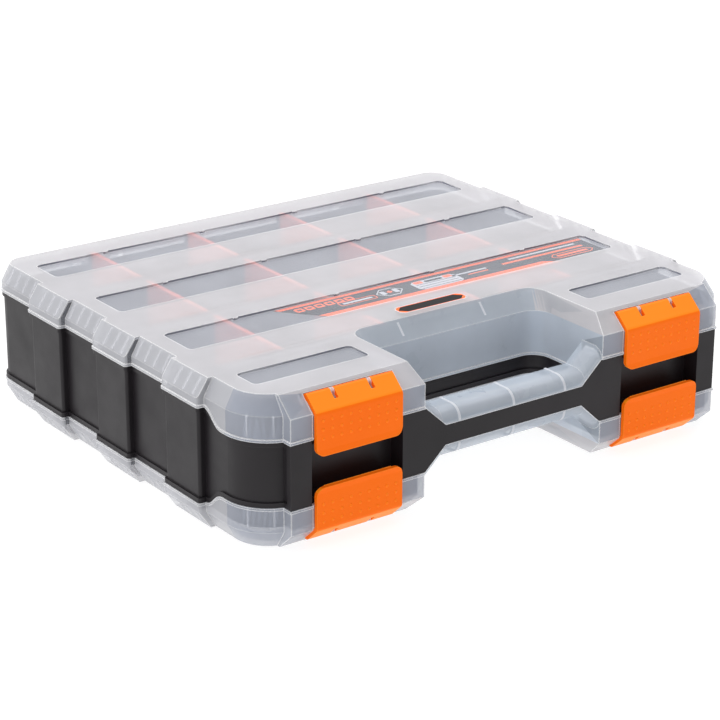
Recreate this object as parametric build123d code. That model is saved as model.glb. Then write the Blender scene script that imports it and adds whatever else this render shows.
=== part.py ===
from build123d import *
import os
from math import hypot

# A double-sided parts organizer. A black tray is divided into compartments above and below a
# middle floor. A translucent lid is hinged along the back of each side, and two orange latches
# on each lid hold it shut at the front, beside the carrying handle.
#
# Millimetres. +X runs along the width, +Z is up and the handle faces -Y. Heights in this script
# are measured from the tray's middle floor. The parts are written with the origin at the middle
# of the box's lower face.

# ---- overall sizes ----
WIDTH = 320.0               # across the proud side panels
HEIGHT = 80.0               # over both lids
HALF = HEIGHT / 2
BODY_HALF_WIDTH = 156.0     # side planes between the proud panels
BODY_FRONT = -129.0         # front plane of the corners
BODY_BACK = 131.5
TOWER_FRONT = -134.0        # front plane behind the latches
TOWER_SIDE = 138.6
TOWER_ROOT = -90.0          # where the towers merge into the body
TOWER_INNER = 20.0          # inner end of a tower's block, inside the hand hole's cut
REACH = 200.0               # past the organizer on every side, for shapes that cut right through
FRONT_RADIUS = 25.0
BACK_RADIUS = 12.0

# ---- compartments ----
ROW_PITCH = 68.3
ROW_WALLS = [ROW_PITCH, 0.0, -ROW_PITCH]
DIVIDER_X = [-96.0, -32.2, 32.2, 96.0]
ROW_WALL = 1.8
FLOOR = 2.0
ROW_WALL_TOP = 37.1
DIVIDER_TOP = 35.4
DIVIDER = 1.5
DIVIDER_CLEAR = 0.15        # between a divider and the walls and guides that hold it
DIVIDER_LIFT = 0.1          # between a divider and the floor
RAIL_HEIGHT = 2.0           # the thicker rail along a divider's upper edge
FOOT_HEIGHT = 1.5           # and the one along its lower edge
GUIDE = 1.2                 # guide rib thickness
GUIDE_DEPTH = 1.6
GUIDE_DROP = 1.0            # the guides end this far below the dividers
JOIN = 0.2                  # how far a rib or an arm runs into the wall that carries it

# ---- proud side panels ----
PANEL_LENGTH = 33.4
PANEL_RADIUS = 1.6

# ---- lids ----
LID_WALL = 2.2
SKIRT_TOP = 30.5            # where the upright skirt turns into the bevel
BEVEL_RISE = HALF - SKIRT_TOP
SIDE_RUN = 5.5
PANEL_RUN = 6.5
FRONT_RUN = 6.0
BACK_RUN = 1.5
TOWER_RUN = 10.5
LID_GAP = 0.15              # between the lid's edge and the tray's flange
RIM = 0.5                   # how far the lid's rim bead stands out
RIM_HEIGHT = 1.4
WINDOW_DEPTH = 1.2
WINDOW_HALF = 140.2
WINDOW_RADIUS = 3.0
WINDOW_ROWS = [(88.0, 112.0), (20.0, 48.0), (-48.0, -21.0)]
WINDOW_TAB = (3.0, 1.0)     # width and depth of the tab at each divider
FRONT_WINDOW_X = (71.4, 140.2)
FRONT_WINDOW_Y = (-106.2, -88.6)
SEAL_RIB = 1.0              # thickness of the ribs that stand beside each row wall
SEAL_GAP = 0.5
SEAL_DEPTH = 2.0

# ---- tray walls ----
PARTING_SIDE = 25.3         # half height of the black band at the sides and back
PARTING_FRONT = 17.05       # the same at the front
PARTING_BAR = 5.2           # the same on the handle and round the hand hole
SWEEP = (-84.0, -101.0)     # where the band sweeps from one height to the other
WALL_INSET = 1.0            # the band's wall sits this far behind its flanges
FLANGE_HEIGHT = 2.4
TONGUE_GAP = 0.35
TONGUE = 1.5
TONGUE_TOP = 28.5
FLOOR_SEAT = 0.5            # how far the middle floor stops short of the band's wall
TRAY_WALL_INNER = LID_WALL + TONGUE_GAP + TONGUE

# ---- hand hole and handle ----
HOLE_HALF = 58.0
HOLE_BACK = -81.0
HOLE_RADIUS = 11.0
HOLE_SIDE_RUN = 3.5
HOLE_BACK_RUN = 9.0
BAR_BACK = -117.5
BAR_HALF = 44.7             # straight part of the black bar
FLARE_HALF = 57.5           # where the flare meets the tower
SHELL_HEIGHT = 13.0         # top of the lid's grip shell
SHELL_HALF = 46.6
SHELL_END = 23.0
GRIP_RADIUS = 7.0
GRIP_BACK_RADIUS = 1.2
GRIP_JOIN = 1.5             # how far the grip shell runs into the tower wall
BAR_WALL = 2.5

# ---- latches ----
LATCH_X = 99.0
LATCH_WIDTH = 51.5
LATCH_FACE = -136.0
LATCH_END = 8.3
LATCH_LIP = 0.6
LATCH_THICK = 2.2
LATCH_BEND = 30.6
LATCH_BEND_RADIUS = 3.5
LATCH_AXIS_Y = -126.6
BARREL_RADIUS = 1.9
LATCH_PIN_RADIUS = 0.9
LATCH_BORE_RADIUS = 0.95
SLOT_OFFSET = 11.0
SLOT_WIDTH = 2.6
SLOT_LENGTH = 5.0
LUG_WIDTH = 2.0
LUG_DEPTH = 3.6             # from the pivot down to the lid's wall
LUG_HALF = 1.8
MOUNT_RADIUS = 4.2          # material of the lid round a barrel
BARREL_GAP = 0.3
LATCH_SIDE_GAP = 0.9
MOUNT_SIDE = 1.5
POCKET_GAP = 0.45
LATCH_CORNER = 4.5
LIP_HEIGHT = 3.0            # the thumb lip slopes out over this height
HOOK_SIDE = 5.5             # from the latch's side to its hook
HOOK_GAP = 0.3              # between the hook and the ledge
HOOK_TIP = 1.2
HOOK_ROOT = 2.7
CATCH_FACE = -131.5         # front of the tray's catch ledge
CATCH_LOW = 13.8
POCKET_BACK = -124.0
POCKET_X = (71.6, 126.4)
POCKET_WALL = 1.8

# ---- lid hinges ----
HINGE_Y = 133.3
HINGE_Z = PARTING_SIDE
HINGE_X = 90.0
KNUCKLE_RADIUS = 3.3
HINGE_PIN_RADIUS = 1.5
HINGE_BORE_RADIUS = 1.56
TRAY_KNUCKLE = 16.0
LID_KNUCKLE = 8.0
KNUCKLE_GAP = 0.4
HINGE_CLEAR = 0.4
HINGE_PIN_LENGTH = TRAY_KNUCKLE + 2 * (KNUCKLE_GAP + LID_KNUCKLE)
ARM_REACH = 8.7

# ---- plate and label ----
PLATE = (44.0, 9.0, 0.5)
PLATE_Y = -62.5
PLATE_GAP = 0.15
PLATE_SINK = 0.1            # the plate's face lies this far below the lid's
LABEL_BACK_X = (-72.0, 138.0)
LABEL_FRONT_X = (-50.0, 138.0)
LABEL_Y = (-47.0, -20.0)
LABEL_THICK = 0.3
LABEL_GAP = 0.1


def block(x, y, z):
    """A box between two limits on each axis."""
    size = [high - low for low, high in (x, y, z)]
    middle = [(high + low) / 2 for low, high in (x, y, z)]
    return Pos(*middle) * Box(*size)


def rod(x, y, z, radius):
    """A cylinder along X between two limits."""
    turned = Rot(0, 90, 0) * Cylinder(radius, x[1] - x[0])
    return Pos((x[0] + x[1]) / 2, y, z) * turned


def both_sides(shape):
    return shape + mirror(shape, about=Plane.YZ)


def both_faces(shape):
    return shape + mirror(shape, about=Plane.XY)


def across(points, x):
    """Extrude an outline in the YZ plane between two limits of X."""
    face = make_face(Plane.YZ * Polyline(*points, close=True))
    return Pos(x[0], 0, 0) * extrude(face, x[1] - x[0], dir=(1, 0, 0))


def along_y(points, y):
    """Extrude an outline in the XZ plane between two limits of Y."""
    face = make_face(Plane.XZ * Polyline(*points, close=True))
    return Pos(0, y[0], 0) * extrude(face, y[1] - y[0], dir=(0, 1, 0))


def bevel(run, inset):
    """Start height and top setback of a lid bevel, for a surface that is inset by a thickness."""
    slope = hypot(run, BEVEL_RISE)
    start = SKIRT_TOP - inset * (slope - BEVEL_RISE) / run
    setback = run + inset * (slope - run) / BEVEL_RISE
    return start, setback


# ---------------------------------------------------------------- outlines

def body_outline(half_width, front, back, front_radius, back_radius):
    sheet = Pos(0, (front + back) / 2) * Rectangle(2 * half_width, back - front)
    sheet = fillet(sheet.vertices().group_by(Axis.Y)[-1], back_radius)
    return fillet(sheet.vertices().group_by(Axis.Y)[0], front_radius)


def hole_outline(half_width, back, radius):
    front = TOWER_FRONT - 10
    sheet = Pos(0, (front + back) / 2) * Rectangle(2 * half_width, back - front)
    return fillet(sheet.vertices().group_by(Axis.Y)[-1], radius)


def panel_outline(y, inset):
    """A proud side panel on the right, seen from above."""
    inner = BODY_HALF_WIDTH - FRONT_RADIUS
    outer = WIDTH / 2 - inset
    sheet = Pos((inner + outer) / 2, y) * Rectangle(outer - inner, PANEL_LENGTH - 2 * inset)
    return fillet(sheet.vertices().group_by(Axis.X)[-1], PANEL_RADIUS)


def plan(inset, panels=True):
    """The organizer seen from above, inset by a thickness, without the handle bar."""
    sheet = body_outline(BODY_HALF_WIDTH - inset, BODY_FRONT + inset, BODY_BACK - inset,
                         FRONT_RADIUS - inset, BACK_RADIUS - inset)
    tower = Pos((TOWER_SIDE - inset) / 2, (TOWER_FRONT + inset + TOWER_ROOT) / 2) * Rectangle(
        TOWER_SIDE - inset, TOWER_ROOT - TOWER_FRONT - inset)
    sheet += both_sides(tower)
    if panels:
        for y in ROW_WALLS:
            sheet += both_sides(panel_outline(y, inset))
    return sheet - hole_outline(HOLE_HALF + inset, HOLE_BACK + inset, HOLE_RADIUS + inset)


def standing(sheet, half_height):
    return extrude(sheet, half_height, both=True)


# ---------------------------------------------------------------- envelope of a closed lid

def body_envelope(inset):
    start, side = bevel(SIDE_RUN, inset)
    front = bevel(FRONT_RUN, inset)[1]
    back = bevel(BACK_RUN, inset)[1]
    low = body_outline(BODY_HALF_WIDTH - inset, BODY_FRONT + inset, BODY_BACK - inset,
                       FRONT_RADIUS - inset, BACK_RADIUS - inset)
    high = body_outline(BODY_HALF_WIDTH - side, BODY_FRONT + front, BODY_BACK - back,
                        FRONT_RADIUS - side, BACK_RADIUS - back)
    bevelled = loft([Pos(0, 0, start) * low, Pos(0, 0, HALF - inset) * high], ruled=True)
    return extrude(low, start) + bevelled


def panel_envelope(y, inset):
    start, setback = bevel(PANEL_RUN, inset)
    outer = WIDTH / 2
    inner = BODY_HALF_WIDTH - FRONT_RADIUS
    profile = [(inner, 0), (outer - inset, 0), (outer - inset, start),
               (outer - setback, HALF - inset), (inner, HALF - inset)]
    prism = along_y(profile, (y - PANEL_LENGTH, y + PANEL_LENGTH))
    return prism & extrude(panel_outline(y, inset), HALF)


def tower_envelope(inset):
    start, setback = bevel(TOWER_RUN, inset)
    front = TOWER_FRONT + inset
    profile = [(TOWER_ROOT, 0), (front, 0), (front, start),
               (TOWER_FRONT + setback, HALF - inset), (TOWER_ROOT, HALF - inset)]
    return across(profile, (TOWER_INNER, TOWER_SIDE - inset))


def hole_envelope(inset):
    start, back = bevel(HOLE_BACK_RUN, inset)
    side = bevel(HOLE_SIDE_RUN, inset)[1]
    low = hole_outline(HOLE_HALF + inset, HOLE_BACK + inset, HOLE_RADIUS + inset)
    over = 1.0
    high = hole_outline(HOLE_HALF + side + over * HOLE_SIDE_RUN / BEVEL_RISE,
                        HOLE_BACK + back + over * HOLE_BACK_RUN / BEVEL_RISE,
                        HOLE_RADIUS + inset)
    top = HALF - inset + over
    bevelled = loft([Pos(0, 0, start) * low, Pos(0, 0, top) * high], ruled=True)
    return Pos(0, 0, -1) * extrude(low, start + 1) + bevelled


def envelope(inset):
    """The upper half of the closed organizer without the grip, inset by a thickness."""
    shape = body_envelope(inset) + both_sides(tower_envelope(inset))
    for y in ROW_WALLS:
        shape += both_sides(panel_envelope(y, inset))
    return shape - hole_envelope(inset)


def grip_envelope(inset):
    """The lid's shell over the handle bar. Its rounded section slides up the flare at each end."""
    front = TOWER_FRONT + inset
    back = BAR_BACK - inset
    top = SHELL_HEIGHT - inset
    low = -SHELL_HEIGHT
    sheet = Pos((front + back) / 2, (top + low) / 2) * Rectangle(back - front, top - low)
    sheet = fillet(sheet.vertices().group_by(Axis.Y)[-1].sort_by(Axis.X)[-1], GRIP_BACK_RADIUS)
    sheet = fillet(sheet.vertices().group_by(Axis.Y)[-1].sort_by(Axis.X)[0], GRIP_RADIUS - inset)
    section = Plane.YZ * sheet
    slope = (SHELL_END - SHELL_HEIGHT) / (FLARE_HALF - SHELL_HALF)
    end = HOLE_HALF if inset else HOLE_HALF + GRIP_JOIN
    run = end - SHELL_HALF
    flare = extrude(Pos(SHELL_HALF, 0, 0) * section, run * hypot(1, slope), dir=(1, 0, slope))
    shape = both_sides(extrude(section, SHELL_HALF, dir=(1, 0, 0)) + flare)
    return shape & block((-REACH, REACH), (-REACH, 0), (0, HALF))


# ---------------------------------------------------------------- the black band

def band_zone(offset):
    """Everything between the two parting surfaces, grown by an offset."""
    side = PARTING_SIDE + offset
    front = PARTING_FRONT + offset
    middle = sum(SWEEP) / 2
    upper = Bezier((SWEEP[0], side), (middle, side), (middle, front), (SWEEP[1], front))
    lower = Bezier((SWEEP[1], -front), (middle, -front), (middle, -side), (SWEEP[0], -side))
    outline = [
        Line((REACH, side), (SWEEP[0], side)), upper,
        Line((SWEEP[1], front), (-REACH, front)), Line((-REACH, front), (-REACH, -front)),
        Line((-REACH, -front), (SWEEP[1], -front)), lower,
        Line((SWEEP[0], -side), (REACH, -side)), Line((REACH, -side), (REACH, side))]
    face = make_face(Plane.YZ * Wire(outline))
    zone = extrude(face, REACH, both=True, dir=(1, 0, 0))
    low = PARTING_BAR + offset
    edge = HOLE_HALF + LID_WALL + TONGUE_GAP / 2
    back = HOLE_BACK + LID_WALL + TONGUE_GAP / 2
    hole = extrude(hole_outline(edge, back, HOLE_RADIUS + LID_WALL), REACH)
    zone -= both_faces(Pos(0, 0, low) * hole)
    slope = (PARTING_FRONT - PARTING_BAR) / (FLARE_HALF - BAR_HALF)
    shift = offset * (hypot(1, slope) - 1) / slope
    half = [(0, 0), (edge + 1, 0), (edge + 1, front), (FLARE_HALF - shift, front),
            (BAR_HALF - shift, low), (0, low)]
    flare = both_sides(along_y(half, (TOWER_FRONT - 10, BAR_BACK)))
    return zone + both_faces(flare)


def ring(outer, inner, half_height, panels=True):
    """A standing wall that follows the plan between two insets."""
    return standing(plan(outer, panels), half_height) - standing(plan(inner, False), half_height)


# ---------------------------------------------------------------- tray

def compartment_walls():
    """Row walls, the short walls that close the front bins, and the divider guide ribs."""
    clip = both_faces(envelope(LID_WALL + TONGUE_GAP))
    walls = Sketch()
    for y in ROW_WALLS:
        walls += Pos(0, y) * Rectangle(2 * BODY_HALF_WIDTH, ROW_WALL)
    strip_x = HOLE_HALF + TRAY_WALL_INNER - TONGUE / 2
    strip_y = (HOLE_BACK - HOLE_RADIUS, ROW_WALLS[-1])
    strip = Pos(strip_x, sum(strip_y) / 2) * Rectangle(TONGUE, strip_y[1] - strip_y[0])
    strips = standing(both_sides(strip), DIVIDER_TOP) & clip
    walls = standing(walls, ROW_WALL_TOP) & clip
    guides = Sketch()
    for y, side in divider_ends():
        for x in DIVIDER_X:
            for hand in (-1, 1):
                at_x = x + hand * (DIVIDER / 2 + DIVIDER_CLEAR + GUIDE / 2)
                at_y = y + side * (GUIDE_DEPTH - JOIN) / 2
                guides += Pos(at_x, at_y) * Rectangle(GUIDE, GUIDE_DEPTH + JOIN)
    return walls + strips + standing(guides, DIVIDER_TOP - GUIDE_DROP)


def row_limits():
    """The clear span of each divided row along Y."""
    back = BODY_BACK - TRAY_WALL_INNER
    face = ROW_WALL / 2
    return [(ROW_WALLS[0] + face, back),
            (ROW_WALLS[1] + face, ROW_WALLS[0] - face),
            (ROW_WALLS[2] + face, ROW_WALLS[1] - face)]


def divider_ends():
    """Where the guide ribs stand, and which way they point."""
    ends = []
    for low, high in row_limits():
        ends += [(low, 1), (high, -1)]
    return ends


def latch_housing():
    """The closed pocket behind a pair of latches, with a catch ledge above and below."""
    low, high = POCKET_X
    box = block((low - POCKET_WALL, high + POCKET_WALL), (CATCH_FACE, POCKET_BACK + POCKET_WALL),
                (-PARTING_FRONT, PARTING_FRONT))
    return both_sides(box)


def latch_housing_cut():
    outer = block(POCKET_X, (-REACH, CATCH_FACE), (-HALF, HALF))
    inner = block(POCKET_X, (-REACH, POCKET_BACK), (-CATCH_LOW, CATCH_LOW))
    return both_sides(outer + inner)


def handle_bar():
    """The black core of the handle, hollowed from above and below round a web."""
    half = [(0, 0), (HOLE_HALF + 1, 0), (HOLE_HALF + 1, PARTING_FRONT), (FLARE_HALF, PARTING_FRONT),
            (BAR_HALF, PARTING_BAR), (0, PARTING_BAR)]
    bar = both_faces(both_sides(along_y(half, (TOWER_FRONT, BAR_BACK))))
    hollow = block((-HOLE_HALF, HOLE_HALF), (TOWER_FRONT + BAR_WALL, BAR_BACK - BAR_WALL),
                   (BAR_WALL / 2, PARTING_FRONT + 1))
    return bar - both_faces(hollow)


def knuckle_spans(clearance=0.0):
    """X limits at the right-hand hinge: the tray's knuckle, and the lid's two beside it."""
    half = TRAY_KNUCKLE / 2
    tray = (HINGE_X - half - clearance, HINGE_X + half + clearance)
    inner = half + KNUCKLE_GAP
    outer = inner + LID_KNUCKLE
    lid = [(HINGE_X - outer - clearance, HINGE_X - inner + clearance),
           (HINGE_X + inner - clearance, HINGE_X + outer + clearance)]
    return tray, lid


def hinge_pin_span(margin=0.0):
    half = HINGE_PIN_LENGTH / 2 + margin
    return (HINGE_X - half, HINGE_X + half)


def knuckle(x, direction, bore):
    """One hinge knuckle with the arm that carries it, up from the pin or down from it."""
    wall_in = BODY_BACK - LID_WALL + JOIN
    arm = [(HINGE_Y + KNUCKLE_RADIUS, HINGE_Z), (BODY_BACK - 0.1, HINGE_Z + direction * ARM_REACH),
           (wall_in, HINGE_Z + direction * ARM_REACH), (wall_in, HINGE_Z + direction * LID_GAP),
           (HINGE_Y, HINGE_Z)]
    body = across(arm, x) + rod(x, HINGE_Y, HINGE_Z, KNUCKLE_RADIUS)
    return body - rod((x[0] - 1, x[1] + 1), HINGE_Y, HINGE_Z, bore)


def make_tray():
    zone = band_zone(0)
    wall = ring(WALL_INSET, TRAY_WALL_INNER, PARTING_SIDE) & zone
    flange = (ring(0, TRAY_WALL_INNER, PARTING_SIDE) & zone) - band_zone(-FLANGE_HEIGHT)
    tower = block((HOLE_HALF - 1, TOWER_SIDE), (TOWER_FRONT, TOWER_FRONT + LID_WALL + 1),
                  (-PARTING_FRONT, PARTING_FRONT)) & zone
    tongue = ring(LID_WALL + TONGUE_GAP, TRAY_WALL_INNER, TONGUE_TOP, panels=False)
    floor = standing(plan(WALL_INSET + FLOOR_SEAT, False), FLOOR / 2)
    tray = wall + flange + both_sides(tower) + tongue + floor + compartment_walls()
    tray += latch_housing()
    tray -= latch_housing_cut()
    tray += handle_bar()
    _, lid_spans = knuckle_spans(HINGE_CLEAR)
    tray_span, _ = knuckle_spans()
    for span in lid_spans:
        clear = rod(span, HINGE_Y, HINGE_Z, KNUCKLE_RADIUS + HINGE_CLEAR)
        tray -= both_faces(both_sides(clear))
    tray += both_faces(both_sides(knuckle(tray_span, -1, HINGE_PIN_RADIUS)))
    return tray


# ---------------------------------------------------------------- latches

def latch_axis():
    """Height of the latch's pivot, so that the barrel is flush with its bevelled face."""
    slope = BEVEL_RISE / TOWER_RUN
    return LATCH_BEND + slope * (LATCH_AXIS_Y - LATCH_FACE) - BARREL_RADIUS * hypot(1, slope)


def latch_profile(grow=0.0):
    """The latch's plate from the side: the upright part, the bevelled part and the end lip."""
    slope = BEVEL_RISE / TOWER_RUN
    lean = hypot(1, slope)
    thick = LATCH_THICK + grow
    face = LATCH_FACE
    inner_bend = LATCH_BEND + slope * thick - thick * lean
    top_y = LATCH_AXIS_Y - BARREL_RADIUS * slope / lean
    top_z = latch_axis() + BARREL_RADIUS / lean
    low_y = top_y + thick * slope / lean
    low_z = top_z - thick / lean
    lip = LATCH_END + LIP_HEIGHT
    return [(face, LATCH_BEND), (top_y, top_z), (low_y, low_z), (face + thick, inner_bend),
            (face + thick, lip), (face + thick - LATCH_LIP, LATCH_END - grow),
            (face - LATCH_LIP, LATCH_END - grow), (face, lip)]


def latch_span(margin=0.0):
    return (LATCH_X - LATCH_WIDTH / 2 - margin, LATCH_X + LATCH_WIDTH / 2 + margin)


def latch_hook():
    """The hook behind the latch, and the thickened edge below it that the thumb lifts."""
    root = LATCH_FACE + LATCH_THICK - JOIN
    face = LATCH_FACE + LATCH_THICK + JOIN
    tip = CATCH_FACE - HOOK_GAP
    top = CATCH_LOW - HOOK_GAP
    return [(root, top), (tip, top), (tip, top - HOOK_TIP), (face, top - HOOK_ROOT),
            (face, LATCH_END), (root, LATCH_END + JOIN)]


def make_latch():
    """The upper right latch."""
    axis_z = latch_axis()
    x = latch_span()
    plate = across(latch_profile(), x)
    bend = (LATCH_X, LATCH_FACE, LATCH_BEND)
    plate = fillet(plate.edges().filter_by(Axis.X).sort_by_distance(bend)[0], LATCH_BEND_RADIUS)
    outline = Pos(LATCH_X, LATCH_END + HALF / 2) * Rectangle(LATCH_WIDTH, HALF)
    outline = fillet(outline.vertices().group_by(Axis.Y)[0], LATCH_CORNER)
    plate &= extrude(Plane.XZ * outline, REACH)
    plate += rod(x, LATCH_AXIS_Y, axis_z, BARREL_RADIUS)
    plate += across(latch_hook(), (x[0] + HOOK_SIDE, x[1] - HOOK_SIDE))
    for side in (-1, 1):
        middle = LATCH_X + side * SLOT_OFFSET
        slot_x = (middle - SLOT_WIDTH / 2, middle + SLOT_WIDTH / 2)
        plate -= block(slot_x, (LATCH_AXIS_Y - SLOT_LENGTH, 0), (LATCH_BEND, HALF))
        pin_x = (slot_x[0] - JOIN, slot_x[1] + JOIN)
        plate += rod(pin_x, LATCH_AXIS_Y, axis_z, LATCH_PIN_RADIUS)
    return plate


# ---------------------------------------------------------------- lids

def window_cut():
    """Sunk windows. Small tabs stand into the back edge of each at the divider places."""
    sheet = Sketch()
    tab_width, tab_depth = WINDOW_TAB
    for low, high in WINDOW_ROWS:
        window = Pos(0, (low + high) / 2) * RectangleRounded(2 * WINDOW_HALF, high - low, WINDOW_RADIUS)
        for x in DIVIDER_X:
            window -= Pos(x, high) * Rectangle(tab_width, 2 * tab_depth)
        sheet += window
    width = FRONT_WINDOW_X[1] - FRONT_WINDOW_X[0]
    depth = FRONT_WINDOW_Y[1] - FRONT_WINDOW_Y[0]
    front = Pos(sum(FRONT_WINDOW_X) / 2, sum(FRONT_WINDOW_Y) / 2) * RectangleRounded(
        width, depth, WINDOW_RADIUS)
    sheet += both_sides(front)
    return Pos(0, 0, HALF - WINDOW_DEPTH) * extrude(sheet, WINDOW_DEPTH + 1)


def lid_seal_ribs():
    """Low ribs under the lid, one on each side of every row wall."""
    ribs = Sketch()
    for y in ROW_WALLS:
        for side in (-1, 1):
            at_y = y + side * (ROW_WALL / 2 + SEAL_GAP + SEAL_RIB / 2)
            ribs += Pos(0, at_y) * Rectangle(2 * WINDOW_HALF, SEAL_RIB)
    return Pos(0, 0, HALF - LID_WALL - SEAL_DEPTH) * extrude(ribs, SEAL_DEPTH + JOIN)


def lid_latch_mount():
    """Material round the latch barrel, inside the lid's bevel."""
    around = rod(latch_span(MOUNT_SIDE), LATCH_AXIS_Y, latch_axis(), MOUNT_RADIUS)
    return around & envelope(0)


def lid_latch_cut():
    """The shallow pocket that the latch lies in, and the groove for its barrel."""
    span = latch_span(LATCH_SIDE_GAP)
    groove = rod(span, LATCH_AXIS_Y, latch_axis(), BARREL_RADIUS + BARREL_GAP)
    return across(latch_profile(POCKET_GAP), span) + groove


def lid_lugs():
    """Two bored lugs that hold the latch's pin."""
    axis_z = latch_axis()
    lugs = None
    for side in (-1, 1):
        middle = LATCH_X + side * SLOT_OFFSET
        x = (middle - LUG_WIDTH / 2, middle + LUG_WIDTH / 2)
        web = block(x, (LATCH_AXIS_Y - LUG_HALF, LATCH_AXIS_Y + LUG_HALF), (axis_z - LUG_DEPTH, axis_z))
        lug = rod(x, LATCH_AXIS_Y, axis_z, BARREL_RADIUS) + web
        lug -= rod((x[0] - 1, x[1] + 1), LATCH_AXIS_Y, axis_z, LATCH_BORE_RADIUS)
        lugs = lug if lugs is None else lugs + lug
    return lugs


def rim_bead():
    """The bead that runs round the lid's edge."""
    bead = ring(-RIM, LID_WALL, HALF)
    bead &= block((-REACH, REACH), (-REACH, REACH), (0, HALF))
    bead &= band_zone(LID_GAP + RIM_HEIGHT)
    return bead - block((-HOLE_HALF, HOLE_HALF), (-REACH, BAR_BACK + RIM), (0, HALF))


def make_lid():
    """The upper lid, without its pockets for the plate and the label."""
    shell = envelope(0) + grip_envelope(0) + rim_bead()
    cavity = envelope(LID_WALL) + grip_envelope(LID_WALL)
    lid = shell - cavity
    lid += lid_seal_ribs()
    lid += both_sides(lid_latch_mount())
    lid -= band_zone(LID_GAP)
    lid -= window_cut()
    lid -= both_sides(lid_latch_cut())
    lid += both_sides(lid_lugs())
    tray_span, _ = knuckle_spans(HINGE_CLEAR)
    _, lid_spans = knuckle_spans()
    lid -= both_sides(rod(tray_span, HINGE_Y, HINGE_Z, KNUCKLE_RADIUS + HINGE_CLEAR))
    for span in lid_spans:
        lid += both_sides(knuckle(span, 1, HINGE_BORE_RADIUS))
    return lid - both_sides(rod(hinge_pin_span(1), HINGE_Y, HINGE_Z, HINGE_BORE_RADIUS))


def plate_shape(grow, height):
    """A small plate with chamfered ends."""
    sheet = Rectangle(PLATE[0] + 2 * grow, PLATE[1] + 2 * grow)
    sheet = chamfer(sheet.vertices(), PLATE[1] / 4)
    return Pos(0, PLATE_Y, HALF - PLATE[2] - PLATE_SINK) * extrude(sheet, height)


def label_shape(grow):
    """A printed strip with a slanted left end, let into the lid's underside."""
    front, back = LABEL_Y
    points = [(LABEL_FRONT_X[0], front), (LABEL_FRONT_X[1], front),
              (LABEL_BACK_X[1], back), (LABEL_BACK_X[0], back)]
    sheet = make_face(Polyline(*points, close=True))
    if grow:
        sheet = offset(sheet, grow, kind=Kind.INTERSECTION)
    return Pos(0, 0, HALF - LID_WALL) * extrude(sheet, LABEL_THICK)


# ---------------------------------------------------------------- dividers and pins

def make_divider(span):
    """An upper divider at x = 0: a thin plate with a thicker rail along its upper edge."""
    y = (span[0] + DIVIDER_CLEAR, span[1] - DIVIDER_CLEAR)
    low = FLOOR / 2 + DIVIDER_LIFT
    plate = block((-DIVIDER / 2, DIVIDER / 2), y, (low, DIVIDER_TOP))
    end = GUIDE_DEPTH + 2 * JOIN
    inner = (y[0] + end, y[1] - end)
    rail = block((-DIVIDER, DIVIDER), inner, (DIVIDER_TOP - RAIL_HEIGHT, DIVIDER_TOP))
    foot = block((-DIVIDER, DIVIDER), inner, (low, low + FOOT_HEIGHT))
    return plate + rail + foot


def make_hinge_pins():
    return both_sides(rod(hinge_pin_span(), HINGE_Y, HINGE_Z, HINGE_PIN_RADIUS))


def write(name, shape):
    """Write one node, lifted so that the lower lid's face is at height 0."""
    export_step(Pos(0, 0, HALF) * shape, f"parts/{name}.step")


def main():
    os.makedirs("parts", exist_ok=True)
    write("tray", make_tray())

    lid = make_lid()
    write("lower_lid", mirror(lid, about=Plane.XY))
    write("upper_lid", lid - plate_shape(PLATE_GAP, HALF) - label_shape(LABEL_GAP))
    write("name_plate", plate_shape(0, PLATE[2]))
    write("label_strip", label_shape(0))

    latch = make_latch()
    for side, hand in (("right", latch), ("left", mirror(latch, about=Plane.YZ))):
        write(f"upper_{side}_latch", hand)
        write(f"lower_{side}_latch", mirror(hand, about=Plane.XY))

    pins = make_hinge_pins()
    write("upper_hinge_pins", pins)
    write("lower_hinge_pins", mirror(pins, about=Plane.XY))

    for row, span in enumerate(row_limits(), start=1):
        divider = make_divider(span)
        for place, x in enumerate(DIVIDER_X, start=1):
            upper = Pos(x, 0, 0) * divider
            write(f"upper_divider_row{row}_{place}", upper)
            write(f"lower_divider_row{row}_{place}", mirror(upper, about=Plane.XY))


main()
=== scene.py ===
"""Looks of the parts organizer: materials, surface detail and the studio, round the CAD frame."""
import math

import bmesh
import bpy
from mathutils import Matrix, Vector
from mathutils.bvhtree import BVHTree


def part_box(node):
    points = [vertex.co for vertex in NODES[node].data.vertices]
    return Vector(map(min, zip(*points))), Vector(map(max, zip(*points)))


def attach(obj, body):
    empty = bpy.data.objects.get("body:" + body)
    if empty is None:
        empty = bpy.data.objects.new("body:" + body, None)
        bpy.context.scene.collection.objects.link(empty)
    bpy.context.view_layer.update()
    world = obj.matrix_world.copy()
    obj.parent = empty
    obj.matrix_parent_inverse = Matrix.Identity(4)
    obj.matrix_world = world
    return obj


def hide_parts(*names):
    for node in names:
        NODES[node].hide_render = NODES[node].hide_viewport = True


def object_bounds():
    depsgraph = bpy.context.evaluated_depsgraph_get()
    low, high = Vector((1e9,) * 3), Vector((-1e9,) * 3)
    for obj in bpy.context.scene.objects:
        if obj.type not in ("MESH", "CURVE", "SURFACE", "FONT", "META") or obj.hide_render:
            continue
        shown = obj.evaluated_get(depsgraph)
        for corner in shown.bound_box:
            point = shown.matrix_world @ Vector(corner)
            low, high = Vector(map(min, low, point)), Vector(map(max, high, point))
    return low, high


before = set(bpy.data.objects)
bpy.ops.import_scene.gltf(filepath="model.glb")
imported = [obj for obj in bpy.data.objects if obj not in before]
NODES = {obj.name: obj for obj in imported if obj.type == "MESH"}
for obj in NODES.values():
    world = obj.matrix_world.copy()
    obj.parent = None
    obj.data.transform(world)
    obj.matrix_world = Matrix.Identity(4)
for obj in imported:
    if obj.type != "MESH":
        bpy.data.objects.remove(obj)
cad_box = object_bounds()

MM = 0.001

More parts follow.
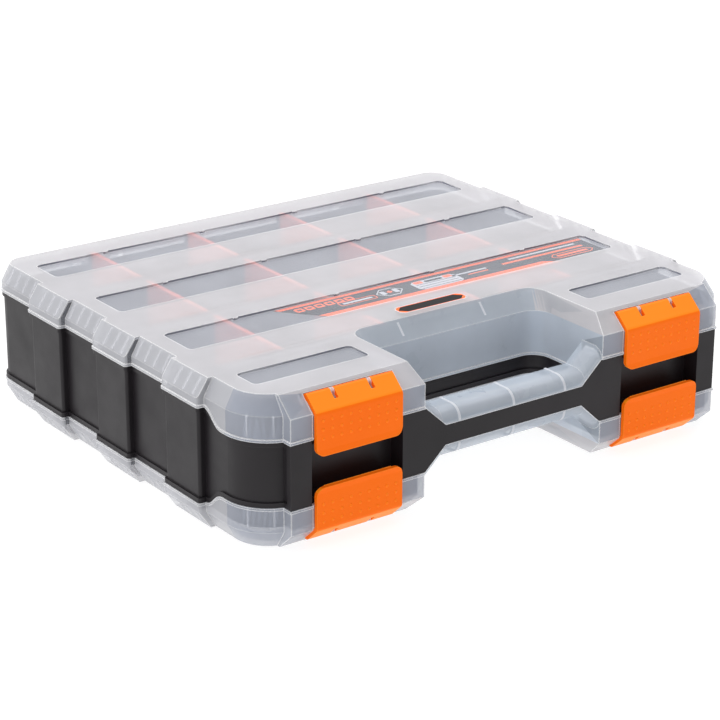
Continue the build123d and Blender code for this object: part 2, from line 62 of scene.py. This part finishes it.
# ---- places worked out from the frame, in metres ----
MID_Z = (cad_box[0][2] + cad_box[1][2]) / 2
TOP_Z = Vector(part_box("upper_lid")[1]).z
HALF = TOP_Z - MID_Z
PLATE_LOW, PLATE_HIGH = (Vector(corner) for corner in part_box("name_plate"))
LABEL_LOW, LABEL_HIGH = (Vector(corner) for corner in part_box("label_strip"))

# ---- the lid's own sizes ----
LID_WALL = 2.2 * MM
WINDOW_DEPTH = 1.2 * MM
WINDOW_X = 141 * MM
WINDOW_ROWS_Y = (-49 * MM, 113 * MM)
FRONT_WINDOW_X = 71 * MM
FRONT_WINDOW_Y = (-107 * MM, -88 * MM)
SKIRT_TOP = MID_Z + 30.5 * MM
SKIRT_BOTTOM = MID_Z + 18.6 * MM
FRONT_SKIRT = -104 * MM
CORNER_X = 128 * MM
CORNER_RADIUS = 25 * MM
LID_FRONT = -129 * MM
HOLE_HALF = 58 * MM
HOLE_FRONT = -117.5 * MM
HOLE_BACK = -81 * MM
HOLE_BEVEL_BACK = -72 * MM
BAR_FRONT = -134 * MM
GRIP_TOP = MID_Z + 13 * MM
GRIP_LOW = MID_Z + 5.35 * MM
GRIP_FRONT_RADIUS = 7 * MM
SIDE_X = 156 * MM
SIDE_RUN = 5.5 * MM
PANEL_X = 160 * MM
PANEL_RUN = 6.5 * MM
PANEL_HALF = 16.7 * MM
ROW_PITCH = 68.3 * MM
PANEL_Y = (-ROW_PITCH, 0.0, ROW_PITCH)
PROUD = 0.08 * MM       # marks on a surface stand out of it by this much

# ---- telling faces apart, by the share of their normal that points along Z ----
FLAT = 0.95
SLOPING = 0.5
UPRIGHT = 0.3
GRIP_TURN = -0.2        # the grip's shell is smooth as far round as this
NEAR = 0.2 * MM         # a face this near a height lies at it
HOLE_MARGIN = 0.7 * MM
RAY_START = 0.3 * MM

# ---- the label. Its ends and its lower stripe's ends are X at the front edge and at the back edge ----
LABEL_ENDS = ((LABEL_LOW.x + 22 * MM, LABEL_LOW.x), (LABEL_HIGH.x, LABEL_HIGH.x))
STRIPE_ENDS = (LABEL_ENDS[0], (LABEL_HIGH.x - 32 * MM, LABEL_HIGH.x - 72 * MM))
FILM_THICK = 0.18 * MM
INK_THICK = 0.03 * MM

# ---- latches ----
LATCH_FACE = -136 * MM
DOT_ROWS = 3
DOT_COLUMNS = 9
DOT_PITCH = 5.45 * MM
DOT_DROP = 4.7 * MM
DOT_TOP = 26.6 * MM
DOT_RADIUS = 0.95 * MM
DOT_HEIGHT = 0.3 * MM
DOT_SINK = 0.02 * MM

# ---- camera ----
AZIMUTH = math.radians(-35.94)
ELEVATION = math.radians(21.06)
ROLL = math.radians(0.12)
DISTANCE = 1.289
LENS = 119.94
TARGET = Vector((-0.02265, -0.0302, 0.04268))

# ---- studio ----
BRIGHT_SIDE = (-0.2, 0.8, 0.5)
DIM = 0.22
BRIGHT = 1.3
BLEND = 0.75            # how far the bright and the dim sides run into each other
FLOOR_TONE = 0.25
FLOOR_GLOW = 0.85
FLOOR_SIZE = 14
FLOOR_Z = -0.5 * MM
LAMP_POWER = 9
LAMP_SIZE = 1.2
LAMP_PLACE = (0.1, 0.4, 1.6)


# ---------------------------------------------------------------- node helpers

class Nodes:
    """A material's node tree, with short calls for the nodes used here."""

    def __init__(self, name):
        self.material = bpy.data.materials.new(name)
        self.material.use_nodes = True
        self.tree = self.material.node_tree
        self.shader = self.tree.nodes["Principled BSDF"]

    def add(self, kind):
        return self.tree.nodes.new(kind)

    def link(self, source, target):
        self.tree.links.new(source, target)

    def place(self):
        return self.add("ShaderNodeTexCoord").outputs["Object"]

    def noise(self, scale, detail):
        node = self.add("ShaderNodeTexNoise")
        node.inputs["Scale"].default_value = scale
        node.inputs["Detail"].default_value = detail
        self.link(self.place(), node.inputs["Vector"])
        return node.outputs["Fac"]

    def remap(self, value, low, high, to_low, to_high):
        node = self.add("ShaderNodeMapRange")
        limits = (("From Min", low), ("From Max", high), ("To Min", to_low), ("To Max", to_high))
        for name, number in limits:
            node.inputs[name].default_value = number
        self.link(value, node.inputs["Value"])
        return node.outputs["Result"]

    def mix_colour(self, factor, first, second):
        """Mix two colours; either may be a fixed colour or a socket."""
        node = self.add("ShaderNodeMix")
        node.data_type = "RGBA"
        for socket, value in ((node.inputs[6], first), (node.inputs[7], second)):
            if isinstance(value, tuple):
                socket.default_value = (*value, 1)
            else:
                self.link(value, socket)
        self.link(factor, node.inputs[0])
        return node.outputs[2]

    def math(self, operation, first, second):
        node = self.add("ShaderNodeMath")
        node.operation = operation
        node.use_clamp = True
        for socket, value in zip(node.inputs, (first, second)):
            if isinstance(value, float):
                socket.default_value = value
            else:
                self.link(value, socket)
        return node.outputs[0]

    def edges(self, radius):
        """1 on the sharp edges of the shape, 0 on its flats."""
        bevel = self.add("ShaderNodeBevel")
        bevel.samples = 4
        bevel.inputs["Radius"].default_value = radius
        flat = self.add("ShaderNodeNewGeometry")
        dot = self.add("ShaderNodeVectorMath")
        dot.operation = "DOT_PRODUCT"
        self.link(bevel.outputs["Normal"], dot.inputs[0])
        self.link(flat.outputs["Normal"], dot.inputs[1])
        return self.remap(dot.outputs["Value"], 0.86, 0.995, 1.0, 0.0)

    def bump(self, height, strength, distance):
        node = self.add("ShaderNodeBump")
        node.inputs["Strength"].default_value = strength
        node.inputs["Distance"].default_value = distance
        self.link(height, node.inputs["Height"])
        self.link(node.outputs["Normal"], self.shader.inputs["Normal"])


# the white of the lids' turns: partly thicker plastic, partly a painted highlight
WHITE_EDGE = (1.0, 1.0, 1.0)
SHADOW_SHARE = 0.35     # the milky lids pass most lamp light on, scattered


def plastic(name, colour, shade, roughness, grain, depth, spread=0.05, edge_tone=None, shine=0.5, glow=0.0):
    """Moulded plastic: slow colour drift, uneven gloss, fine grain, paler edges and, where given, a
    painted glow.
    """
    made = Nodes(name)
    made.shader.inputs["Specular IOR Level"].default_value = shine
    # painted glow: the plastic gives off a little light in its own colour, though it is no lamp
    made.shader.inputs["Emission Color"].default_value = (*colour, 1)
    made.shader.inputs["Emission Strength"].default_value = glow
    drift = made.remap(made.noise(14, 4), 0.35, 0.65, 0, 1)
    base = made.mix_colour(drift, colour, shade)
    # the sharp edges take a paler tone
    if edge_tone:
        base = made.mix_colour(made.edges(0.5 * MM), base, edge_tone)
    made.link(base, made.shader.inputs["Base Color"])
    gloss = made.remap(made.noise(60, 3), 0.3, 0.7, roughness - spread, roughness + spread)
    made.link(gloss, made.shader.inputs["Roughness"])
    made.bump(made.noise(grain, 2), 0.4, depth)
    return made.material


def milky(name, colour, alpha, edge_alpha, roughness=0.4, depth=0.0, edge_colour=WHITE_EDGE):
    """Translucent polypropylene: a milky veil, denser where the moulding turns, and there painted in the
    edge colour; a pale edge is partly the thicker plastic and partly a painted highlight.
    """
    made = Nodes(name)
    cloud = made.remap(made.noise(26, 4), 0.35, 0.65, 0, 1)
    paler = tuple(min(1.0, part * 1.05) for part in colour)
    base = made.mix_colour(cloud, colour, paler)
    # the turns take the edge colour: partly the thicker plastic, partly a painted highlight
    edge = made.edges(0.9 * MM)
    made.link(made.mix_colour(edge, base, edge_colour), made.shader.inputs["Base Color"])
    gloss = made.remap(made.noise(80, 3), 0.3, 0.7, roughness - 0.05, roughness + 0.05)
    made.link(gloss, made.shader.inputs["Roughness"])
    made.shader.inputs["Specular IOR Level"].default_value = 0.4
    veil = made.remap(made.noise(40, 4), 0.3, 0.7, alpha - 0.03, alpha + 0.03)
    extra = made.math("MULTIPLY", edge, edge_alpha - alpha)
    seen = made.math("ADD", veil, extra)
    lamp = made.add("ShaderNodeLightPath").outputs["Is Shadow Ray"]
    through = made.remap(lamp, 0, 1, 1, SHADOW_SHARE)
    made.link(made.math("MULTIPLY", seen, through), made.shader.inputs["Alpha"])
    if depth:
        made.bump(made.noise(1100, 2), 0.35, depth)
    return made.material


# ---- opaque plastics, the label's inks and steel; the orange latches, dividers and label ink carry a small painted glow ----
BLACK = plastic("black_plastic", (0.013, 0.011, 0.013), (0.018, 0.015, 0.018), roughness=0.42, grain=1500,
                depth=0.00005, spread=0.06, edge_tone=(0.035, 0.032, 0.036), shine=0.28)
ORANGE = plastic("orange_plastic", (1.0, 0.170, 0.004), (0.98, 0.155, 0.003), roughness=0.50, grain=1500,
                 depth=0.00003, edge_tone=(1.0, 0.28, 0.02), shine=0.12, glow=0.14)
# a lighter, yellower copy of the orange for the latches' sloping faces: a painted highlight
ORANGE_PAINTED_HIGHLIGHT = plastic("orange_bevel_painted_highlight", (1.0, 0.26, 0.008), (0.99, 0.24, 0.006), roughness=0.45, grain=1500,
                       depth=0.00003, edge_tone=(1.0, 0.34, 0.03), shine=0.2, glow=0.16)
DIVIDER = plastic("divider_orange", (1.0, 0.20, 0.11), (0.98, 0.18, 0.10), roughness=0.50, grain=1500,
                  depth=0.00003, shine=0.3, glow=0.1)
STEEL = plastic("pin_steel", (0.55, 0.55, 0.57), (0.45, 0.45, 0.47), roughness=0.3, grain=900,
                depth=0.00002, spread=0.08)
STEEL.node_tree.nodes["Principled BSDF"].inputs["Metallic"].default_value = 1.0
PLATE = plastic("plate_black", (0.006, 0.005, 0.006), (0.008, 0.007, 0.008), roughness=0.20, grain=900,
                depth=0.00001, spread=0.04, shine=0.03)
FILM = plastic("label_grey", (0.010, 0.008, 0.008), (0.013, 0.010, 0.010), roughness=0.35, grain=900,
               depth=0.00001, spread=0.04, shine=0.08)
FILM_ORANGE = plastic("label_orange", (1.0, 0.15, 0.02), (0.98, 0.14, 0.02), roughness=0.35, grain=900,
                      depth=0.00001, spread=0.04, shine=0.1, glow=0.25)
FILM_WHITE = plastic("label_white", (0.75, 0.75, 0.80), (0.70, 0.70, 0.75), roughness=0.35, grain=900,
                     depth=0.00001, spread=0.04)

# ---- the lids' milky plastic, thicker or clearer from place to place, with painted shade on its sides, front skirt and window walls and painted light on the hand hole's walls ----
FROSTED = milky("lid_frosted", (0.70, 0.685, 0.715), 0.56, 0.9, roughness=0.38, depth=0.00004)
# a darker copy of the frosted plastic for the lid's walls behind its front: painted shade
SIDE = milky("lid_side_wall_painted_shade", (0.52, 0.525, 0.56), 0.66, 0.9, roughness=0.38, depth=0.00004)
# a darker, bluer copy of the frosted plastic for the upright front skirt: painted shade
SKIRT = milky("lid_front_skirt_painted_shade", (0.46, 0.49, 0.57), 0.52, 0.88, roughness=0.36, depth=0.00003)
WINDOW = milky("lid_window", (0.54, 0.57, 0.65), 0.30, 0.7, roughness=0.22)
# dark blue-grey for the small walls round the sunk windows: painted shade in the step
SUNK_EDGE_PAINTED_SHADE = milky("lid_window_edge_painted_shade", (0.22, 0.23, 0.29), 0.80, 0.85, roughness=0.35,
                  edge_colour=(0.30, 0.31, 0.37))
CEILING = milky("lid_ceiling", (0.67, 0.68, 0.74), 0.42, 0.5)
LINING = milky("lid_lining", (0.60, 0.62, 0.68), 0.18, 0.22)
SMOOTH = milky("lid_smooth_wall", (0.56, 0.63, 0.72), 0.52, 0.85, roughness=0.3, depth=0.00002)
# a paler, bluer copy of the smooth wall for the hand hole's upright walls: painted light
RECESS_PAINTED_LIGHT = milky("lid_recess_wall_painted_light", (0.76, 0.84, 0.95), 0.60, 0.88, roughness=0.3, depth=0.00002)
CLEAR = milky("lid_clear_pocket", (0.60, 0.62, 0.68), 0.06, 0.1, roughness=0.3)
LID_MATERIALS = (FROSTED, SIDE, SKIRT, WINDOW, SUNK_EDGE_PAINTED_SHADE, CEILING, LINING, SMOOTH, RECESS_PAINTED_LIGHT, CLEAR)
RIB = milky("lid_rib", (0.95, 0.95, 0.98), 0.92, 0.95, depth=0.00002)
RIB_SOFT = milky("lid_rib_soft", (0.72, 0.73, 0.77), 0.36, 0.40, edge_colour=(0.80, 0.81, 0.85))
RIB_LINE = milky("lid_rib_line", (0.74, 0.76, 0.81), 0.66, 0.72, edge_colour=(0.85, 0.86, 0.90))


# ---------------------------------------------------------------- CAD nodes

def paint(node, *materials):
    """Give a CAD node its materials. The first one covers it."""
    piece = NODES[node]
    piece.data.materials.clear()
    for material in materials:
        piece.data.materials.append(material)
    for face in piece.data.polygons:
        face.material_index = 0
    return piece


def is_in_window(point):
    """True on the small upright walls round a sunk window."""
    across = abs(point.x)
    in_rows = WINDOW_ROWS_Y[0] < point.y < WINDOW_ROWS_Y[1] and across < WINDOW_X
    in_front = FRONT_WINDOW_Y[0] < point.y < FRONT_WINDOW_Y[1] and FRONT_WINDOW_X < across < WINDOW_X
    return in_rows or in_front


def lid_face_kind(face, side, tree):
    """Which of LID_MATERIALS a face takes, by where it lies and which way it points."""
    place = face.center
    across = abs(place.x)
    height = (place.z - MID_Z) * side
    facing = face.normal.z * side
    if facing > FLAT and abs(height - (HALF - WINDOW_DEPTH)) < NEAR:
        return WINDOW
    if facing < -SLOPING and height > HALF - LID_WALL + NEAR / 2:
        return CLEAR
    if facing < -SLOPING and height > HALF - 2 * LID_WALL:
        return CEILING
    on_rim = abs(height - (HALF - WINDOW_DEPTH / 2)) < NEAR
    # the small walls round a sunk window take a painted shade
    if on_rim and abs(facing) < UPRIGHT and is_in_window(place):
        return SUNK_EDGE_PAINTED_SHADE
    in_hole = across < HOLE_HALF + HOLE_MARGIN and place.y < HOLE_BACK + HOLE_MARGIN
    # the hand hole's upright walls take a painted light
    if in_hole and abs(facing) < UPRIGHT and place.y > HOLE_FRONT:
        return RECESS_PAINTED_LIGHT
    on_grip = across < HOLE_HALF and place.y < HOLE_FRONT
    if on_grip and facing > GRIP_TURN:
        return SMOOTH
    behind_hole = across < HOLE_HALF and HOLE_BACK < place.y < HOLE_BEVEL_BACK
    if behind_hole and UPRIGHT < facing < FLAT:
        return SMOOTH
    if abs(facing) < FLAT and not in_hole:
        hit = tree.ray_cast(place + face.normal * RAY_START, face.normal)
        if hit[0] is not None:
            return LINING
    if facing > FLAT or in_hole:
        return FROSTED
    # the walls behind the front take a painted shade
    if place.y > FRONT_SKIRT:
        return SIDE
    # the upright front skirt takes a painted shade
    return SKIRT if abs(facing) < UPRIGHT or across > CORNER_X else FROSTED


def paint_lid(node):
    piece = paint(node, *LID_MATERIALS)
    side = 1 if node.startswith("upper") else -1
    mesh = piece.data
    tree = BVHTree.FromPolygons([v.co for v in mesh.vertices], [p.vertices for p in mesh.polygons])
    for face in mesh.polygons:
        face.material_index = LID_MATERIALS.index(lid_face_kind(face, side, tree))


def paint_latch(node):
    """The latch's sloping faces take a lighter, yellower orange than its upright ones: a painted
    highlight.
    """
    piece = paint(node, ORANGE, ORANGE_PAINTED_HIGHLIGHT)
    for face in piece.data.polygons:
        if SLOPING < abs(face.normal.z) < FLAT:
            face.material_index = 1


def paint_nodes():
    for name in NODES:
        if name.endswith("_lid"):
            paint_lid(name)
        elif "latch" in name:
            paint_latch(name)
        elif "divider" in name:
            paint(name, DIVIDER)
        elif "pins" in name:
            paint(name, STEEL)
        elif name == "name_plate":
            paint(name, PLATE)
        elif name == "tray":
            paint(name, BLACK)


# ---------------------------------------------------------------- mesh helpers

class Shape:
    """A mesh built from slabs, boxes and domes, each in one of its materials."""

    def __init__(self, name, *materials):
        self.name = name
        self.materials = materials
        self.mesh = bmesh.new()

    def slab(self, outline, low, high, material=0):
        """A flat plate with the given outline, between two heights."""
        rings = [[self.mesh.verts.new((x, y, z)) for x, y in outline] for z in (low, high)]
        self.close(rings, material)

    def hull(self, lower, upper, material=0):
        """A closed prism between two matching rings of points."""
        self.close([[self.mesh.verts.new(p) for p in ring] for ring in (lower, upper)], material)

    def close(self, rings, material):
        lower, upper = rings
        count = len(lower)
        faces = [self.mesh.faces.new(list(reversed(lower))), self.mesh.faces.new(upper)]
        for i in range(count):
            j = (i + 1) % count
            faces.append(self.mesh.faces.new((lower[i], lower[j], upper[j], upper[i])))
        for face in faces:
            face.material_index = material

    def dome(self, place, across, up, out, radius, height, material=0):
        """A small round bump on a surface."""
        steps = 8
        rings = []
        for share, lift in ((1.0, 0.0), (0.75, 0.6)):
            ring = []
            for i in range(steps):
                turn = 2 * math.pi * i / steps
                offset = radius * share * (math.cos(turn) * across + math.sin(turn) * up)
                ring.append(self.mesh.verts.new(place + offset + out * height * lift))
            rings.append(ring)
        tip = self.mesh.verts.new(place + out * height)
        faces = [self.mesh.faces.new(list(reversed(rings[0])))]
        for i in range(steps):
            j = (i + 1) % steps
            faces.append(self.mesh.faces.new((rings[0][i], rings[0][j], rings[1][j], rings[1][i])))
            faces.append(self.mesh.faces.new((rings[1][i], rings[1][j], tip)))
        for face in faces:
            face.material_index = material

    def finish(self, body, slot, smooth=False):
        bmesh.ops.recalc_face_normals(self.mesh, faces=self.mesh.faces)
        data = bpy.data.meshes.new(self.name)
        self.mesh.to_mesh(data)
        self.mesh.free()
        for material in self.materials:
            data.materials.append(material)
        for face in data.polygons:
            face.use_smooth = smooth
        piece = bpy.data.objects.new(self.name, data)
        bpy.context.collection.objects.link(piece)
        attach(piece, body)
        return piece


def flip(point, side):
    """A point of the upper half, or its mirror image in the lower half."""
    return Vector((point[0], point[1], MID_Z + (point[2] - MID_Z) * side))


# ---------------------------------------------------------------- latches

def make_latch_dots(node, side):
    """The grid of small dots on a latch's face, for the thumb."""
    low, high = (Vector(corner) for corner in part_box(node))
    middle = (low.x + high.x) / 2
    across, up, out = Vector((1, 0, 0)), Vector((0, 0, 1)), Vector((0, -1, 0))
    shape = Shape(f"{node}_dots", ORANGE)
    for row in range(DOT_ROWS):
        height = MID_Z + side * (DOT_TOP - DOT_DROP * row)
        for column in range(DOT_COLUMNS):
            x = middle + (column - (DOT_COLUMNS - 1) / 2) * DOT_PITCH
            place = Vector((x, LATCH_FACE + DOT_SINK, height))
            shape.dome(place, across, up, out, DOT_RADIUS, DOT_HEIGHT)
    shape.finish(node, "latch_orange", smooth=True)


# ---------------------------------------------------------------- plate and label

def chamfered(middle, half_x, half_y, cut):
    """An outline with its four corners cut off."""
    x, y = middle
    points = [(-half_x + cut, -half_y), (half_x - cut, -half_y), (half_x, -half_y + cut),
              (half_x, half_y - cut), (half_x - cut, half_y), (-half_x + cut, half_y),
              (-half_x, half_y - cut), (-half_x, -half_y + cut)]
    return [(x + dx, y + dy) for dx, dy in points]


def ring_of(shape, outer, inner, low, high, material):
    """A flat ring between two matching outlines."""
    for i in range(len(outer)):
        j = (i + 1) % len(outer)
        shape.slab([outer[i], outer[j], inner[j], inner[i]], low, high, material)


def make_plate_border():
    """The pale edge and the orange corners of the name plate, round its black middle."""
    middle = ((PLATE_LOW.x + PLATE_HIGH.x) / 2, (PLATE_LOW.y + PLATE_HIGH.y) / 2)
    half_x = (PLATE_HIGH.x - PLATE_LOW.x) / 2
    half_y = (PLATE_HIGH.y - PLATE_LOW.y) / 2
    cut = half_y / 2
    inner_cut = 0.85 * half_y
    edge, line = 0.25 * MM, 0.65 * MM
    outer = chamfered(middle, half_x, half_y, cut)
    between = chamfered(middle, half_x - edge, half_y - edge, cut)
    inner = chamfered(middle, half_x - line, half_y - line, inner_cut)
    low, high = PLATE_HIGH.z, PLATE_HIGH.z + PROUD
    shape = Shape("name_plate_border", FILM_WHITE, FILM_ORANGE)
    ring_of(shape, outer, between, low, high, 0)
    ring_of(shape, between, inner, low, high, 1)
    shape.finish("upper_lid", "plate_black")


class Print:
    """The printed strip. Its marks are placed along X, and by their share of its depth."""

    def __init__(self):
        self.top = LABEL_LOW.z + FILM_THICK
        self.ink = INK_THICK
        self.depth = LABEL_HIGH.y - LABEL_LOW.y
        self.shape = Shape("label_art", FILM, FILM_ORANGE, FILM_WHITE)

    def stripe(self, first, last, material, layer=0, ends=LABEL_ENDS):
        """A band right across the strip, between two shares of its depth."""
        points = []
        for share, end in ((first, 0), (first, 1), (last, 1), (last, 0)):
            front, back = ends[end]
            points.append((front + (back - front) * share, LABEL_LOW.y + self.depth * share))
        low = self.top + layer * self.ink if layer else LABEL_LOW.z
        self.shape.slab(points, low, self.top + (layer + 1) * self.ink, material)

    def mark(self, x, share, size, material, layer=1, cut=0.25):
        """A small plate with cut corners. Its size is in millimetres, across and deep."""
        half = (size[0] * MM / 2, size[1] * MM / 2)
        outline = chamfered((x * MM, LABEL_LOW.y + self.depth * share), *half, cut * min(half))
        low = self.top + layer * self.ink
        self.shape.slab(outline, low, low + self.ink, material)

    def outline(self, x, share, size, line, material, cut=0.25):
        """The same as a mark, but only its edge."""
        middle = (x * MM, LABEL_LOW.y + self.depth * share)
        half = (size[0] * MM / 2, size[1] * MM / 2)
        less = tuple(part - line * MM for part in half)
        outer = chamfered(middle, *half, cut * min(half))
        inner = chamfered(middle, *less, cut * min(less))
        low = self.top + self.ink
        ring_of(self.shape, outer, inner, low, low + self.ink, material)


def make_label():
    """Grey film, orange stripes and generic pictograms, with plain bars in place of words."""
    grey, orange, white = range(3)
    art = Print()
    art.stripe(0, 1, grey)
    art.stripe(0.88, 0.98, orange, 1)
    art.stripe(0.02, 0.27, orange, 1, STRIPE_ENDS)
    for i in range(6):
        art.mark(-60 + 6.4 * i, 0.72, (5.2, 5.2), orange)
        art.mark(-60 + 6.4 * i, 0.72, (2.8, 2.0), grey, 2)
    art.outline(-26, 0.53, (24, 5.5), 0.6, orange)
    art.mark(-26, 0.53, (19, 1.8), white)
    art.outline(-4, 0.58, (17, 11), 0.8, white, cut=0.9)
    for i in (-1, 1):
        art.mark(-4 + 4.2 * i, 0.58, (3, 5), white)
    art.mark(-4, 0.58, (3.6, 3.2), orange, 2, cut=0.9)
    make_case_pictogram(art, 27, orange, white)
    art.mark(51, 0.62, (24, 1.6), white)
    art.mark(55, 0.50, (14, 1.2), orange)
    art.mark(106, 0.77, (48, 1.8), white)
    art.mark(103, 0.60, (58, 2.2), orange)
    art.outline(119, 0.34, (30, 7), 0.8, orange, cut=0.9)
    art.mark(119, 0.34, (22, 2.2), orange)
    piece = art.shape.finish("upper_lid", "label_film")
    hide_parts("label_strip")


def make_case_pictogram(art, x, orange, white):
    """A plain drawing of a case: a pale body with shelves, a handle and two orange latches."""
    grey = 0
    art.mark(x, 0.52, (30, 13), white, 1, cut=0.35)
    for i in range(3):
        art.mark(x, 0.34 + 0.11 * i, (27, 0.5), grey, 2)
    art.mark(x, 0.66, (12, 2.6), grey, 2, cut=0.6)
    for hand in (-1, 1):
        art.mark(x + 10 * hand, 0.68, (5.5, 3.4), orange, 2)


# ---------------------------------------------------------------- ribs moulded inside the lids

def add_rib(shape, x, profile, thick, side):
    """A rib of even thickness at one X, with its profile given as Y and Z."""
    rings = [[flip((x + d, y, z), side) for y, z in profile] for d in (-thick, thick)]
    shape.hull(*rings)


def bevel_profile(start, run, first, last, depth):
    """A strip that follows a bevel between two shares of its height, from just proud of it inwards."""
    rise = TOP_Z - SKIRT_TOP
    away = math.copysign(1, run)
    corners = ((first, -PROUD), (last, -PROUD), (last, depth), (first, depth))
    return [(start + run * share + away * move, SKIRT_TOP + rise * share) for share, move in corners]


def make_side_ribs(face, side):
    """Small upright ribs that show through the bevel along both sides of a lid."""
    shape = Shape(f"{face}_lid_side_ribs", RIB_SOFT)
    pitch = ROW_PITCH / 8
    first, last = -80 * MM, 122 * MM
    margin = 3 * MM
    thick, depth = 0.9 * MM, 0.8 * MM
    for i in range(int((last - first) / pitch) + 1):
        y = first + i * pitch
        on_panel = any(abs(y - middle) < PANEL_HALF - margin for middle in PANEL_Y)
        near_edge = any(abs(abs(y - middle) - PANEL_HALF) < margin for middle in PANEL_Y)
        if near_edge:
            continue
        outer, run = (PANEL_X, PANEL_RUN) if on_panel else (SIDE_X, SIDE_RUN)
        profile = bevel_profile(outer, -run, 0.08, 0.88, depth)
        for hand in (-1, 1):
            rings = [[flip((hand * x, y + d, z), side) for x, z in profile] for d in (-thick, thick)]
            shape.hull(*rings)
    shape.finish(f"{face}_lid", "lid_clear")


def make_grip_ribs(face, side):
    """Three ribs that follow the rounded front of the grip shell and show through it."""
    shape = Shape(f"{face}_lid_grip_ribs", RIB_LINE)
    thick, depth = 0.7 * MM, 1.0 * MM
    steps = 16
    turns = [math.pi / 2 * i / steps for i in range(steps + 1)]
    middle_y, middle_z = BAR_FRONT + GRIP_FRONT_RADIUS, GRIP_TOP - GRIP_FRONT_RADIUS
    outlines = []
    for radius in (GRIP_FRONT_RADIUS + PROUD, GRIP_FRONT_RADIUS + PROUD - depth):
        arc = [(middle_y - radius * math.cos(turn), middle_z + radius * math.sin(turn)) for turn in turns]
        low_end = (middle_y - radius, GRIP_LOW + 0.5 * MM)
        back_end = (HOLE_FRONT + PROUD, middle_z + radius)
        outlines.append([low_end, *arc, back_end])
    outer, inner = outlines
    for x in (-36 * MM, -1 * MM, 33 * MM):
        for i in range(len(outer) - 1):
            add_rib(shape, x, [outer[i], outer[i + 1], inner[i + 1], inner[i]], thick, side)
    shape.finish(f"{face}_lid", "lid_clear")


def make_corner_ribs(face, side):
    """Upright ribs inside the rounded front corners."""
    shape = Shape(f"{face}_lid_corner_ribs", RIB)
    thick, depth = 0.5 * MM, 2 * MM
    middle = Vector((SIDE_X - CORNER_RADIUS, LID_FRONT + CORNER_RADIUS))
    radius = CORNER_RADIUS - LID_WALL - 0.1 * MM
    for hand in (-1, 1):
        for degrees in (28, 62):
            turn = math.radians(degrees)
            out = Vector((hand * math.cos(turn), -math.sin(turn)))
            across = Vector((-out.y, out.x)) * thick
            near = Vector((hand * middle.x, middle.y)) + out * radius
            far = near - out * depth
            quad = [near + across, near - across, far - across, far + across]
            rings = [[flip((p.x, p.y, z), side) for p in quad] for z in (SKIRT_BOTTOM, SKIRT_TOP - 1 * MM)]
            shape.hull(*rings)
    shape.finish(f"{face}_lid", "lid_clear")


def make_hole_ribs(face, side):
    """Short ribs that show through the bevel behind the hand hole."""
    shape = Shape(f"{face}_lid_hole_ribs", RIB_LINE)
    thick, depth = 0.6 * MM, 0.8 * MM
    profile = bevel_profile(HOLE_BACK, HOLE_BEVEL_BACK - HOLE_BACK, 0.25, 0.85, depth)
    for x in (-30 * MM, 24 * MM):
        add_rib(shape, x, profile, thick, side)
    shape.finish(f"{face}_lid", "lid_clear")


# ---------------------------------------------------------------- studio

def make_floor():
    """White paper that glows a little, so that the object's shadow stays faint."""
    paper = Nodes("floor_paper")
    paper.shader.inputs["Base Color"].default_value = (FLOOR_TONE, FLOOR_TONE, FLOOR_TONE, 1)
    paper.shader.inputs["Roughness"].default_value = 0.9
    paper.shader.inputs["Emission Color"].default_value = (1, 1, 1, 1)
    paper.shader.inputs["Emission Strength"].default_value = FLOOR_GLOW
    bpy.ops.mesh.primitive_plane_add(size=FLOOR_SIZE, location=(0, 0, FLOOR_Z))
    floor = bpy.context.object
    floor.name = "floor"
    floor.data.materials.append(paper.material)


def make_lamp():
    """One wide lamp overhead, a little behind the object."""
    data = bpy.data.lights.new("overhead", "AREA")
    data.shape = "SQUARE"
    data.size = LAMP_SIZE
    data.energy = LAMP_POWER
    lamp = bpy.data.objects.new("overhead", data)
    bpy.context.collection.objects.link(lamp)
    lamp.location = LAMP_PLACE
    lamp.rotation_euler = (-Vector(LAMP_PLACE)).to_track_quat("-Z", "Y").to_euler()


def make_world():
    """A pale surround, brighter overhead and behind the object than in front of it."""
    world = bpy.data.worlds.new("studio")
    world.use_nodes = True
    tree = world.node_tree
    background = tree.nodes["Background"]
    towards = tree.nodes.new("ShaderNodeVectorMath")
    towards.operation = "DOT_PRODUCT"
    towards.inputs[1].default_value = Vector(BRIGHT_SIDE).normalized()
    spread = tree.nodes.new("ShaderNodeMapRange")
    spread.interpolation_type = "SMOOTHSTEP"
    for name, number in (("From Min", -BLEND), ("From Max", BLEND), ("To Min", DIM), ("To Max", BRIGHT)):
        spread.inputs[name].default_value = number
    tree.links.new(tree.nodes.new("ShaderNodeTexCoord").outputs["Generated"], towards.inputs[0])
    tree.links.new(towards.outputs["Value"], spread.inputs["Value"])
    tree.links.new(spread.outputs["Result"], background.inputs["Strength"])
    background.inputs["Color"].default_value = (1, 1, 1, 1)
    bpy.context.scene.world = world


def make_camera():
    data = bpy.data.cameras.new("camera")
    data.lens = LENS
    data.sensor_width = 36
    data.dof.use_dof = False
    camera = bpy.data.objects.new("camera", data)
    bpy.context.collection.objects.link(camera)
    back = Vector((math.sin(AZIMUTH) * math.cos(ELEVATION),
                   -math.cos(AZIMUTH) * math.cos(ELEVATION), math.sin(ELEVATION)))
    camera.location = TARGET + DISTANCE * back
    turn = (-back).to_track_quat("-Z", "Y").to_matrix()
    camera.rotation_euler = (turn @ Matrix.Rotation(ROLL, 3, "Z")).to_euler()
    bpy.context.scene.camera = camera


make_camera()
paint_nodes()
for face_name, face_side in (("upper", 1), ("lower", -1)):
    for hand_name in ("left", "right"):
        make_latch_dots(f"{face_name}_{hand_name}_latch", face_side)
    make_side_ribs(face_name, face_side)
    make_grip_ribs(face_name, face_side)
    make_corner_ribs(face_name, face_side)
    make_hole_ribs(face_name, face_side)
make_plate_border()
make_label()
make_floor()
make_world()
make_lamp()
bpy.context.scene.view_settings.view_transform = "Standard"
